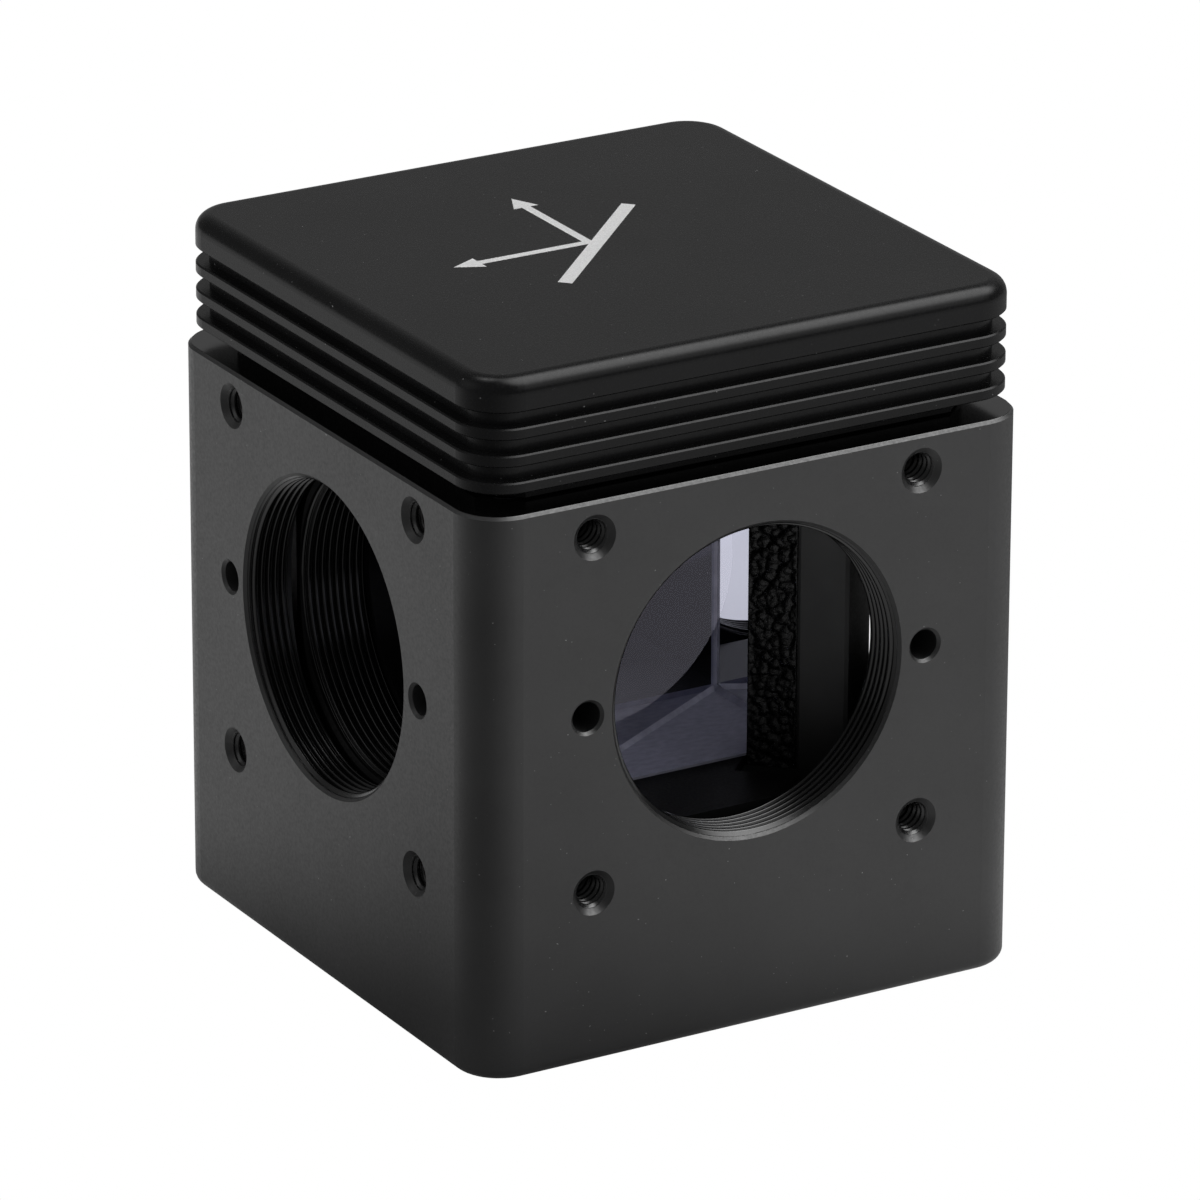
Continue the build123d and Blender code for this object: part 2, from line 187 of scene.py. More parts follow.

# %% [markdown]
# ## Black anodised aluminium
# The machined blocks are blasted with fine beads before they are anodised, which leaves a matt
# skin that still turns bright where it is seen edge-on. A dark base colour, a middling roughness
# and a very fine grain give that. A slow cloud in the colour keeps large faces from looking
# painted, and a few pale specks stand for lint, which no black part escapes.
#
# One recipe serves six skins. The base's sides are matt, and its top edge is smoother, because a
# last cut was taken there after the blasting; its colour there is painted near black, a painted
# shade under the lid. The lid is deeper black with less shine. The bores are dull, and their
# colour is painted darker than the base's skin, a painted shade deep inside the cube, so that
# they don't light up round the prism. The clamp bar is paler, and its colour is painted darker
# towards its foot, a painted shade inside the cube. Thread turns are smoother than any flat face,
# since a cutting tool leaves them bright; the port threads are painted darker than the tapped
# holes' threads, a painted shade inside the ports.

# %% Anodised finish
GRAIN, CLOUD, LINT = 0.26 * MM, 9 * MM, 1.6 * MM / 6
UNEVEN = 0.2
LINT_SHARE, LINT_SHADE = (0.79, 0.82), (0.16, 0.16, 0.16)
# The base's top face: smoother, and its colour painted near black, a painted shade under the lid.
RIM_DEPTH, RIM_ROUGHNESS, RIM_PAINTED_SHADE = 0.02 * MM, 0.16, (0.002, 0.002, 0.002)
# The clamp bar's colour is painted darker towards its foot, from a tenth at the lower height to
# full at the upper: a painted shade.
CLAMP_PAINTED_SHADE_HEIGHTS, PAINTED_SHADE_LEVEL = (16 * MM, 38 * MM), 0.1


def anodised(name, shade, roughness, gloss=0.5, grain_depth=2.2e-6, lint=True, rim_z=None,
             fade=None):
    """Bead-blasted black aluminium: fine grain in relief, a slow cloud and sparse lint.

    The gloss is the strength of the mirrored light, 0.5 for a bare oxide skin and less where
    the dye has left it dull. A skin with a rim height is smoother above it, where a finish cut
    was taken after the blasting, and its colour there is painted deeper black: a painted shade
    under the lid. A skin with a fade has a painted shade in its colour, darkest at and below the
    lower of two heights and growing paler up to the upper one."""
    material, tree, shader = new_finish(name)
    cloud = spread(tree, noise(tree, CLOUD, 6.0), 0.3, 0.7)
    dark, light = (tuple(c * share for c in shade) for share in (1 - UNEVEN, 1 + UNEVEN))
    colour = blend(tree, cloud, dark, light)
    if lint:
        specks = spread(tree, noise(tree, LINT, 1.0, (0.3, 0.1, 0.2)), *LINT_SHARE)
        colour = blend(tree, specks, colour, LINT_SHADE)
    grain = noise(tree, GRAIN, 2.0)
    rough = spread(tree, grain, 0.25, 0.75, roughness * (1 - UNEVEN), roughness * (1 + UNEVEN))
    if fade is not None or rim_z is not None:
        split = tree.nodes.new("ShaderNodeSeparateXYZ")
        feed(tree, split.inputs["Vector"],
             tree.nodes.new("ShaderNodeTexCoord").outputs["Object"])
        height = split.outputs["Z"]
    # Painted shade: the colour is darker towards the lower height.
    if fade is not None:
        painted_foot_shade = spread(tree, height, *fade, PAINTED_SHADE_LEVEL, 1.0)
        colour = blend(tree, 1.0, colour, painted_foot_shade, way="MULTIPLY")
    # Above the rim: smoother, and the colour painted near black, a painted shade under the lid.
    if rim_z is not None:
        above = maths(tree, "GREATER_THAN", height, rim_z)
        rough = blend(tree, above, rough, RIM_ROUGHNESS, kind="FLOAT")
        colour = blend(tree, above, colour, RIM_PAINTED_SHADE)
    tree.links.new(colour, shader.inputs["Base Color"])
    tree.links.new(rough, shader.inputs["Roughness"])
    shader.inputs["Specular IOR Level"].default_value = gloss
    bump(tree, shader, grain, grain_depth)
    return material


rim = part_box("base_body")[1].z - RIM_DEPTH
# The base's skin, painted near black above the rim as a painted shade under the lid.
black_face = anodised("black_anodised_skin", (0.012, 0.012, 0.0122), 0.42, rim_z=rim)
black_lid = anodised("black_anodised_lid", (0.005, 0.005, 0.0052), 0.27, 0.13, 1.2e-6)
# The bores' colour is painted darker than the base's skin: a painted shade deep inside the cube.
black_bore = anodised("black_anodised_bore", (0.003, 0.003, 0.0031), 0.4, 0.08, 1e-6, False)
# The clamp bar's fade is a painted shade, darker towards its foot.
black_clamp = anodised("black_anodised_clamp", (0.08, 0.08, 0.081), 0.6, 0.05, 1e-6, False,
                       fade=CLAMP_PAINTED_SHADE_HEIGHTS)
# The port threads' colour is painted darker than the tapped holes' threads: a painted shade
# inside the ports.
black_thread = anodised("black_anodised_thread", (0.003, 0.003, 0.0031), 0.2, 0.42, 4e-7, False)
small_thread = anodised("black_anodised_tapped", (0.012, 0.012, 0.0122), 0.24, 0.5, 4e-7, False)
print("anodised finishes made, the smooth rim starts at", round(rim / MM, 2), "mm")

# %% [markdown]
# ## Steel, screws and magnets
# Only slivers of these show through the ports, but the insert lifts out, so each gets its own
# finish: polished bearing balls, ground seats, black-oxide screws and bright nickel on magnets.

# %% Metal finishes
def metal(name, colour, roughness, grain_size, grain_depth, metallic=1.0):
    """A metal with fine relief and a slightly uneven gloss."""
    material, tree, shader = new_finish(name)
    shader.inputs["Metallic"].default_value = metallic
    cloud = spread(tree, noise(tree, 12 * grain_size, 2.0), 0.3, 0.7)
    tint = blend(tree, cloud, tuple(c * 0.9 for c in colour), colour)
    tree.links.new(tint, shader.inputs["Base Color"])
    grain = noise(tree, grain_size, 3.0)
    rough = spread(tree, grain, 0.2, 0.8, roughness * 0.8, roughness * 1.25)
    tree.links.new(rough, shader.inputs["Roughness"])
    bump(tree, shader, grain, grain_depth)
    return material


ball_steel = metal("polished_ball_steel", (0.62, 0.63, 0.65), 0.08, 0.3 * MM, 1e-7)
seat_steel = metal("ground_seat_steel", (0.46, 0.46, 0.48), 0.3, 0.08 * MM, 1.5e-6)
nickel = metal("nickel_plate", (0.66, 0.63, 0.58), 0.16, 0.5 * MM, 4e-7)
oxide = metal("black_oxide", (0.035, 0.033, 0.032), 0.34, 0.12 * MM, 1.2e-6, 0.55)


def dress(names, material):
    """Gives each machined node one material."""
    for name in names:
        slots = nodes[name].data.materials
        slots.clear()
        slots.append(material)
    print(material.name, "on", len(names), "pieces")


dress(["base_body"], black_face)
dress(["insert_cap"], black_lid)
dress(["insert_block"], black_bore)
dress(["clamp_bar"], black_clamp)
dress([n for n in nodes if n.endswith("_ball")], ball_steel)
dress([n for n in nodes if n.endswith("_seat")], seat_steel)
dress([n for n in nodes if "magnet" in n], nickel)
dress([n for n in nodes if "screw" in n], oxide)

# %% [markdown]
# ## Meshes from arrays
# Each new piece is a grid of points worked out at once with numpy. The faces are found from the
# grid's own row and column numbers, so no loop runs over vertices.

# %% Mesh helpers
def grid_faces(rows, columns, close_columns=False):
    """Quads of a grid of points, row by row. Closed columns join the last one to the first."""
    here = np.arange(rows - 1)[:, None] * columns
    c = np.arange(columns if close_columns else columns - 1)[None, :]
    right, below = (c + 1) % columns, here + columns
    return np.stack([here + c, here + right, below + right, below + c], -1).reshape(-1, 4)


def node_array(mesh, kind, field):
    """One field of a mesh's vertices or polygons as rows of three numbers."""
    items = getattr(mesh, kind)
    values = np.zeros(len(items) * 3)
    items.foreach_get(field, values)
    return values.reshape(-1, 3)


def place_piece(name, mesh, body):
    """An object for a mesh, riding on a body."""
    piece = bpy.data.objects.new(name, mesh)
    bpy.context.scene.collection.objects.link(piece)
    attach(piece, body)
    return piece


def mesh_piece(name, points, faces, material, body, smooth=True):
    """A piece from an array of points in metres and a list of faces."""
    mesh = bpy.data.meshes.new(name)
    mesh.from_pydata(np.asarray(points).reshape(-1, 3), [], faces)
    mesh.update()
    mesh.materials.append(material)
    mesh.shade_smooth() if smooth else mesh.shade_flat()
    return place_piece(name, mesh, body)


def weld(mesh):
    """Joins points closer than a thousandth of a millimetre and drops the faces this closes."""
    edit = bmesh.new()
    edit.from_mesh(mesh)
    bmesh.ops.remove_doubles(edit, verts=edit.verts, dist=1e-3 * MM)
    open_edges = sum(len(edge.link_faces) != 2 for edge in edit.edges)
    edit.to_mesh(mesh)
    edit.free()
    if open_edges:
        print("open edges in", mesh.name, open_edges)


print("a grid of 3 by 4 points has", len(grid_faces(3, 4)), "quads, closed round",
      len(grid_faces(3, 4, close_columns=True)))

# %% [markdown]
# ## Thread turns
# A thread is a V that climbs one pitch in each turn. The machined wall stands at the thread's
# major radius, so the turns are a sleeve inside it. For a point at turn t and depth s along the
# hole, the height of the V is a triangle wave of s / pitch + t, with its tip and its root cut
# flat. Where the sleeve ends, it fades into the wall, as a cut thread does.
#
# The rows of the grid climb with the thread. With level rows, the sharp tip would run slantwise
# over the quads and come out as a row of teeth.

# %% Thread sleeve
PITCH = 25.4 / 40 * MM
SLEEVE_WALL = 0.02 * MM
STEPS_PER_TURN = 16
ROOT_FLAT, TIP_FLAT = 0.125, 0.25
FADE_LENGTH = 0.3 * MM


def thread_sleeve(radius, height, start, end, pitch, around):
    """Depth, angle and radius of a thread's skin on a grid of rows that climb with the thread.

    Row r at angle a lies at depth start + pitch * (r / steps - a / turn), so a row follows one
    line of the V and its tip stays sharp all the way round. Depths are cut at start and end. The
    radius is the wall's less height * V, where V is a triangle wave of depth / pitch + a / turn,
    which makes a right-handed thread. Both ends fade to the wall."""
    rows = int(math.ceil(((end - start) / pitch + 1) * STEPS_PER_TURN)) + 1
    share = np.arange(around) / around
    depth = start + pitch * (np.arange(rows)[:, None] / STEPS_PER_TURN - share)
    depth = np.clip(depth, start, end)
    wave = ((depth - start) / pitch + share) % 1.0
    climb = 1 - np.abs(2 * wave - 1)
    vee = np.clip((climb - ROOT_FLAT) / (1 - ROOT_FLAT - TIP_FLAT), 0, 1)
    fade = np.minimum(depth - start, end - depth) / FADE_LENGTH
    inner = radius - height * np.minimum(vee, np.clip(fade, 0, 1))
    return depth, np.broadcast_to(2 * np.pi * share, depth.shape), inner


def sleeve_points(depth, angle, radius, centre, axis):
    """Points round an axis that points out of the hole's mouth."""
    axis = Vector(axis).normalized()
    side = axis.orthogonal().normalized()
    out, u, v = (np.array(vector) for vector in (axis, side, axis.cross(side)))
    return (np.array(centre) - depth[..., None] * out
            + (radius * np.cos(angle))[..., None] * u
            + (radius * np.sin(angle))[..., None] * v)


def climbing_faces(rows, around):
    """Quads of the climbing grid. After a full turn, row r goes on as the row one turn up."""
    faces = grid_faces(rows, around)
    last = np.arange(STEPS_PER_TURN, rows - 1)
    here, there = last * around + around - 1, (last - STEPS_PER_TURN) * around
    joint = np.stack([here, there, there + around, here + around], -1)
    return np.concatenate([faces, joint])


def add_thread(name, centre, axis, radius, height, start, end, body, around,
               pitch=PITCH, finish=black_thread):
    """A thread as a thin sleeve of its own, fitted to the wall of one hole.

    Points that the cut at both ends brings together are welded. This closes the skin but for one
    sliver at the mouth, where the first row starts. It is 0.003 mm wide in a port and 0.013 mm
    in a cage hole, and the three edges round it are the open ones that weld prints."""
    depth, angle, inner = thread_sleeve(radius, height, start, end, pitch, around)
    front = sleeve_points(depth, angle, inner, centre, axis)
    ends = np.broadcast_to([[end], [start]], (2, around))
    back = sleeve_points(ends, angle[:2], radius + SLEEVE_WALL, centre, axis)
    rims = sleeve_points(ends, angle[:2], radius, centre, axis)
    shell = np.concatenate([rims[:1], back, rims[1:]])
    points = np.concatenate([front.reshape(-1, 3), shell.reshape(-1, 3)])
    faces = np.concatenate([climbing_faces(len(depth), around),
                            grid_faces(len(shell), around, close_columns=True) + depth.size])
    piece = mesh_piece(name, points, faces.tolist(), finish, body)
    weld(piece.data)
    print(name, len(piece.data.polygons), "faces")


# %% [markdown]
# ### The ports
# Forty turns an inch, in the base's four walls and in the insert's two bores. The base's wall is
# thin, so only a few turns fit. Inside the insert the thread runs on behind a short plain step.

# %% Port threads
THREAD_HEIGHT = 0.36 * MM
PORT_STEPS = 220
PORT_START, PORT_END_GAP = 0.3 * MM, 0.05 * MM
INSERT_START, INSERT_END = 0.55 * MM, 6.3 * MM
port_r = mount["front_port"]["dims"]["r_mm"] * MM
port_wall = mount["front_port"]["dims"]["length_mm"] * MM
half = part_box("base_body")[1].x
insert_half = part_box("insert_block")[1].x


def port_thread(name, side, reach, start, end, body):
    """The thread of one port, from its mouth at a distance along the port's axis."""
    axis = mount[f"{side}_port"]["axis"]
    mouth = Vector(axis) * reach + Vector((0, 0, port_z))
    add_thread(f"{name}_{side}", mouth, axis, port_r, THREAD_HEIGHT, start, end, body, PORT_STEPS)


for side in ("front", "right", "back", "left"):
    port_thread("port_thread", side, half, PORT_START, port_wall - PORT_END_GAP, "base")
for side in ("left", "back"):
    port_thread("insert_thread", side, insert_half, INSERT_START, INSERT_END, "insert")

# %% [markdown]
# ### The small holes
# The cage holes and the post hole are too small for the eye to count turns, but the bright and
# dark rings at their mouths need real turns to catch the light.

# %% Small threads
HOLE_STEPS = 48
CAGE_THREAD, CAGE_START, CAGE_DEPTH = 0.24 * MM, 0.42 * MM, 4.8 * MM
POST_PITCH, POST_THREAD, POST_START = 25.4 / 32 * MM, 0.3 * MM, 0.5 * MM

for side in ("front", "right", "back", "left"):
    pattern = mount[f"{side}_cage_holes"]
    axis = Vector(pattern["axis"])
    along = Vector((0, 0, 1)).cross(axis)
    reach = pattern["dims"]["spacing_x_mm"] * MM / 2
    radius = pattern["dims"]["hole_r_mm"] * MM
    for number, (i, j) in enumerate(((-1, -1), (1, -1), (1, 1), (-1, 1)), start=1):
        mouth = Vector(pattern["pos_m"]) + along * reach * i + Vector((0, 0, reach * j))
        add_thread(f"cage_thread_{side}_{number}", mouth, axis, radius, CAGE_THREAD,
                   CAGE_START, CAGE_DEPTH, "base", HOLE_STEPS, finish=small_thread)

post = mount["post_hole"]
add_thread("post_thread", (0, 0, 0), post["axis"], post["dims"]["r_mm"] * MM, POST_THREAD,
           POST_START, post["dims"]["length_mm"] * MM, "base", HOLE_STEPS, pitch=POST_PITCH,
           finish=small_thread)

# %% [markdown]
# ## The prism mirror
# A right-angle prism of solid glass. Its long face carries the mirror coating, its two legs are
# polished, and its ends and most of its bevelled edges are ground matt. The bevel between the
# legs stays clear, so the black foam behind it shows through the glass and no pale line does.

# %% Glass finishes
def polished_glass():
    """Clear crown glass, very slightly violet as the mirror's coating tints it."""
    material, _, shader = new_finish("polished_glass")
    shader.inputs["Transmission Weight"].default_value = 1.0
    shader.inputs["IOR"].default_value = 1.517
    shader.inputs["Roughness"].default_value = 0.0
    shader.inputs["Base Color"].default_value = (0.93, 0.93, 0.985, 1)
    shader.inputs["Specular Tint"].default_value = (0.72, 0.70, 0.86, 1)
    return material


def ground_glass():
    """Glass ground with fine grit: a pale skin that scatters light, a little uneven."""
    material, tree, shader = new_finish("ground_glass")
    cloud = spread(tree, noise(tree, 0.9 * MM, 3.0), 0.3, 0.7)
    tree.links.new(blend(tree, cloud, (0.32, 0.32, 0.41), (0.44, 0.44, 0.54)),
                   shader.inputs["Base Color"])
    grit = noise(tree, 0.05 * MM, 2.0)
    tree.links.new(spread(tree, grit, 0.2, 0.8, 0.45, 0.65), shader.inputs["Roughness"])
    bump(tree, shader, grit, 1.5e-6)
    return material


def mirror_coating():
    """A silvery coating with no relief at all, so the picture in it stays sharp."""
    material, tree, shader = new_finish("mirror_coating")
    haze = spread(tree, noise(tree, 6 * MM, 1.0), 0.3, 0.7)
    tree.links.new(blend(tree, haze, (0.72, 0.73, 0.83), (0.76, 0.77, 0.87)),
                   shader.inputs["Base Color"])
    shader.inputs["Metallic"].default_value = 1.0
    shader.inputs["Roughness"].default_value = 0.0
    return material


clear_skin, ground_skin, coating = polished_glass(), ground_glass(), mirror_coating()
print("glass finishes made")

# %% [markdown]
# ### The prism itself
# The piece is the solid between flat faces with every edge bevelled. It could be listed plane by
# plane, but the machined node already has each bevel in place. So its mesh is copied, and each
# face gets its finish from the direction it looks in.

# %% Glass prism
SEAT_AIR = 0.03 * MM
SAME_WAY = 0.999
GROUND, CLEAR, COATED = 0, 1, 2
CLEAR_WAYS = [(0, -1), (1, 0), (math.sqrt(0.5), -math.sqrt(0.5))]
MIRROR_WAYS = [(-math.sqrt(0.5), math.sqrt(0.5))]


def glass_prism():
    """The machined prism's own outline, with a finish chosen by each face's direction.

    Each corner moves a hair towards the middle, so that no face lies in the face of its seat.

    A face that looks along (-1, 1) is the mirror, one that looks along -Y or +X is a polished
    leg, the bevel between the legs is clear too, and all others are ground."""
    mesh = nodes["prism_mirror"].data.copy()
    corners = node_array(mesh, "vertices", "co")
    middle = (corners.max(0) + corners.min(0)) / 2
    middle[:2] = (corners[:, 0].max() / 2, corners[:, 1].min() / 2)
    corners += (middle - corners) / np.linalg.norm(middle - corners, axis=1)[:, None] * SEAT_AIR
    mesh.vertices.foreach_set("co", corners.ravel())
    mesh.update()
    mesh.materials.clear()
    for material in (ground_skin, clear_skin, coating):
        mesh.materials.append(material)
    piece = place_piece("glass_prism", mesh, "insert")
    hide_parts("prism_mirror")
    normals = node_array(mesh, "polygons", "normal")[:, :2]
    kind = np.full(len(normals), GROUND)
    for finish, ways in ((CLEAR, CLEAR_WAYS), (COATED, MIRROR_WAYS)):
        kind[(normals @ np.array(ways).T).max(1) > SAME_WAY] = finish
    mesh.polygons.foreach_set("material_index", kind)
    mesh.shade_flat()
    print("prism faces:", np.bincount(kind, minlength=3), "ground, polished, coated")


glass_prism()

# %% [markdown]
# ## The foam pad
# A strip of coarse black foam, cut with a knife and squeezed between the prism's edge and the
# clamp bar. Its skin is nearly black, glossy where a cell bulges and dull between the cells.

# %% Foam finish
def foam_finish():
    """Black foam rubber: nearly black, with glossy and dull patches smaller than a cell."""
    material, tree, shader = new_finish("black_foam_cells")
    patch = spread(tree, noise(tree, 0.35 * MM, 2.0), 0.35, 0.65)
    tree.links.new(blend(tree, patch, (0.0008, 0.0008, 0.001), (0.003, 0.003, 0.0034)),
                   shader.inputs["Base Color"])
    fine = noise(tree, 0.12 * MM, 3.0)
    tree.links.new(spread(tree, fine, 0.35, 0.65, 0.1, 0.34), shader.inputs["Roughness"])
    shader.inputs["Specular IOR Level"].default_value = 0.3
    bump(tree, shader, fine, 6e-5)
    return material


foam_skin = foam_finish()
print("foam finish made")

# %% [markdown]
# ### Cells as relief
# The cut sides show round cells about three quarters of a millimetre wide, and smaller ones on
# them. This is a cellular pattern: every point belongs to the nearest of many scattered seeds,
# and the surface bulges by how near that seed is. A bump in the material could shade such cells,
# but not their outline, and the cut side is seen through the port against a plain bar. So the
# cells are real relief.

# %% Foam cells
CELL, SMALL_CELL = 0.72 * MM, 0.33 * MM
CELL_SEED, SMALL_SEED = 7, 11
CELL_REACH = 0.76
JITTER, TABLE_SIZE = (0.02, 0.98), 4096
SCATTER = (73856093, 19349663, 83492791)


def cell_bulge(points, cell, seed):
    """Height of a cellular skin: 1 at a cell's seed, falling with the square of the distance.

    Seeds sit on a jittered lattice, so each point compares itself with the 27 seeds of the
    lattice boxes round it. The height is 1 - (nearest / reach) ** 2, cut at 0."""
    table = np.random.default_rng(seed).uniform(*JITTER, (TABLE_SIZE, 3))
    home = np.floor(points / cell).astype(int)
    steps = np.stack(np.meshgrid(*[[-1, 0, 1]] * 3, indexing="ij"), -1).reshape(-1, 3)
    boxes = home[:, None] + steps
    mixed = (boxes * SCATTER).sum(-1) % TABLE_SIZE
    seeds = (boxes + table[mixed]) * cell
    nearest = np.linalg.norm(points[:, None] - seeds, axis=-1).min(1)
    return np.clip(1 - (nearest / (CELL_REACH * cell)) ** 2, 0, 1)


trial = np.linspace((0, 0, 0), (CELL, CELL, CELL), 50)
print("cell heights along one lattice box:", cell_bulge(trial, CELL, CELL_SEED)[::10].round(2))

# %% [markdown]
# ### The strip
# Rows of points run round the pad's section, from its foot to its top. The section comes from
# the machined pad, so the strip keeps its size, its back on the bar and its notch on the glass.
# Only the two free sides carry cells. A slow wave down them is what is left of the knife's cut.

# %% Foam strip
FOAM_AROUND, FOAM_ROWS = 280, 350
CELL_BULGE, CELL_MEAN, CELL_SHARES = 0.3 * MM, 0.7, (0.82, 0.18)
CUT_WAVE, CUT_LONG, CUT_SHORT = 0.08 * MM, 1.9 * MM, 0.83 * MM
EDGE_FADE = 0.25 * MM
FREE_SIDES = (0, 2)


def section_walk(corners, count):
    """Points evenly spaced round a closed polygon, with each one's outward normal and side."""
    ends = np.roll(corners, -1, 0)
    sides = np.linalg.norm(ends - corners, axis=1)
    marks = np.concatenate([[0], np.cumsum(sides)])
    walk = np.linspace(0, marks[-1], count, endpoint=False)
    side = np.clip(np.searchsorted(marks, walk, "right") - 1, 0, len(sides) - 1)
    share = ((walk - marks[side]) / sides[side])[:, None]
    along = (ends - corners)[side] / sides[side][:, None]
    normal = np.stack([along[:, 1], -along[:, 0]], 1)
    return corners[side] * (1 - share) + ends[side] * share, normal, side


def foam_section(to_world):
    """The pad's section seen from above: its tip beside the glass, its back and its notch."""
    flat = np.unique(node_array(nodes["foam_pad"].data, "vertices", "co")[:, :2].round(7), axis=0)
    p, q = to_world @ flat.T
    back, tip, half = p.max(), p.min(), q.max()
    inner = np.abs(q) < half * 0.5
    blunt, notch = q[inner].max(), p[inner].max()
    print("foam section from", round(tip / MM, 2), "to", round(back / MM, 2), "mm, notch at",
          round(notch / MM, 2), "mm")
    return np.array([(tip, -half), (back, -half), (back, half), (tip, half),
                     (notch, blunt), (notch, -blunt)])


def foam_strip():
    """A prism-shaped pad as rows round its section, from foot to top.

    Only the free sides bulge, by CELL_BULGE times the cell height less its mean, and they fade
    to the plain section beside the glass and the bar."""
    low, high = (np.array(corner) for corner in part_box("foam_pad"))
    to_world = np.array([(1, -1), (1, 1)]) / math.sqrt(2)
    section = foam_section(to_world)
    (tip, _), (back, _), (notch, _) = section[0], section[1], section[4]
    walk, normal, side = section_walk(section, FOAM_AROUND)
    plan, facing = walk @ to_world, normal @ to_world
    heights = np.linspace(low[2], high[2], FOAM_ROWS)
    skin = np.concatenate([np.tile(plan, (FOAM_ROWS, 1)),
                           np.repeat(heights, FOAM_AROUND)[:, None]], 1)
    edge = np.minimum(walk[:, 0] - tip, back - walk[:, 0]) / EDGE_FADE
    free = np.tile(np.isin(side, FREE_SIDES) * np.clip(edge, 0, 1), FOAM_ROWS)
    cells = (CELL_SHARES[0] * cell_bulge(skin, CELL, CELL_SEED)
             + CELL_SHARES[1] * cell_bulge(skin, SMALL_CELL, SMALL_SEED))
    bulge = (cells - CELL_MEAN) * CELL_BULGE
    cut = np.sin(skin[:, 2] / CUT_LONG) * np.sin(skin[:, 2] / CUT_SHORT + 1) * CUT_WAVE
    skin[:, :2] += np.tile(facing, (FOAM_ROWS, 1)) * ((bulge + cut) * free)[:, None]
    middle = np.array(((back + notch) / 2, 0)) @ to_world
    points = np.concatenate([[[*middle, low[2]]], skin, [[*middle, high[2]]]])
    ring = np.arange(FOAM_AROUND)
    after = (ring + 1) % FOAM_AROUND
    last = 1 + (FOAM_ROWS - 1) * FOAM_AROUND
    quads = grid_faces(FOAM_ROWS, FOAM_AROUND, close_columns=True) + 1
    bottom = np.stack([0 * ring, 1 + after, 1 + ring], 1)
    top = np.stack([0 * ring + len(points) - 1, last + ring, last + after], 1)
    faces = quads.tolist() + bottom.tolist() + top.tolist()
    piece = mesh_piece("foam_strip", points, faces, foam_skin, "insert")
    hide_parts("foam_pad")
    print("foam strip faces:", len(faces))


foam_strip()

# %% [markdown]
# ## The beam sign
# A light grey mark on the lid shows how a beam turns: a bar at 45 degrees for the mirror, and
# two arrows. It is a set of flat outlines lying on the lid, thinner than a hair.

# %% Beam sign
SIGN_LIFT = 0.012 * MM
LINE, BAR, HEAD_LONG, HEAD_WIDE = 0.78 * MM, 1.2 * MM, 2.4 * MM, 2.3 * MM
BAR_REACH, ARROW_REACH, ARROW_SIDE = 7.1 * MM, 12.95 * MM, 0.5 * MM
lid_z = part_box("insert_cap")[1].z


def bar_outline():
    """The mirror's bar: a rectangle of width BAR along the line y = x."""
    slant = BAR / 2 / math.sqrt(2)
    return [(-BAR_REACH + slant, -BAR_REACH - slant), (BAR_REACH + slant, BAR_REACH - slant),
            (BAR_REACH - slant, BAR_REACH + slant), (-BAR_REACH - slant, -BAR_REACH + slant)]


def arrows_outline():
    """Both arrows as one outline: thin shafts at a right angle, a triangle at each end.

    The shafts are cut off along the bar's edge, the line y = x + BAR * sqrt(2) / 2, so that no
    part of the sign lies over another."""
    near, far = ARROW_SIDE - LINE / 2, ARROW_SIDE + LINE / 2
    low, high = ARROW_SIDE - HEAD_WIDE / 2, ARROW_SIDE + HEAD_WIDE / 2
    neck, cut = ARROW_REACH - HEAD_LONG, BAR * math.sqrt(2) / 2
    first = [(near - cut, near), (-neck, near), (-neck, low), (-ARROW_REACH, ARROW_SIDE),
             (-neck, high), (-neck, far), (-far, far)]
    second = [(-y, -x) for x, y in reversed(first[:-1])]
    return (first + second)[::-1]


def sign_finish():
    """Laser-marked anodising: pale grey with a faint mottle, nearly matt."""
    material, tree, shader = new_finish("marked_grey")
    mottle = spread(tree, noise(tree, 0.12 * MM, 2.0), 0.3, 0.7)
    tree.links.new(blend(tree, mottle, (0.72, 0.72, 0.72), (0.95, 0.95, 0.95)),
                   shader.inputs["Base Color"])
    shader.inputs["Roughness"].default_value = 0.6
    return material


points, faces = [], []
for outline in (bar_outline(), arrows_outline()):
    faces.append(list(range(len(points), len(points) + len(outline))))
    points += [(x, y, lid_z + SIGN_LIFT) for x, y in outline]
mesh_piece("beam_sign", points, faces, sign_finish(), "insert", smooth=False)
print("beam sign corners:", len(points))

# %% [markdown]
# ## Floor, backdrop and light
# The picture is a product shot on white. World and floor are white for the eye and through
# glass. Black anodising shows what it mirrors more than its own colour, so what the faces mirror
# is set with care: the table is bright at the right in front and at the left behind, and dimmer
# between them, and the cube's own shade darkens it close by.
#
# The floor lies a hair under the cube, so that the two don't share a face, and it is clear from
# below, so that the underside can be looked at.

# %% Floor
FLOOR_HALF, FLOOR_DROP = 1.2, 0.05 * MM
TABLE_DIM, TABLE_RIGHT, TABLE_LEFT = 0.22, 1.15, 0.82
BRIGHT_WAY = Vector((0.507, -0.862, 0))
SHADE_REACH, SHADE_LEVEL = (28 * MM, 48 * MM), 0.4
ONE_BOUNCE = 1.5


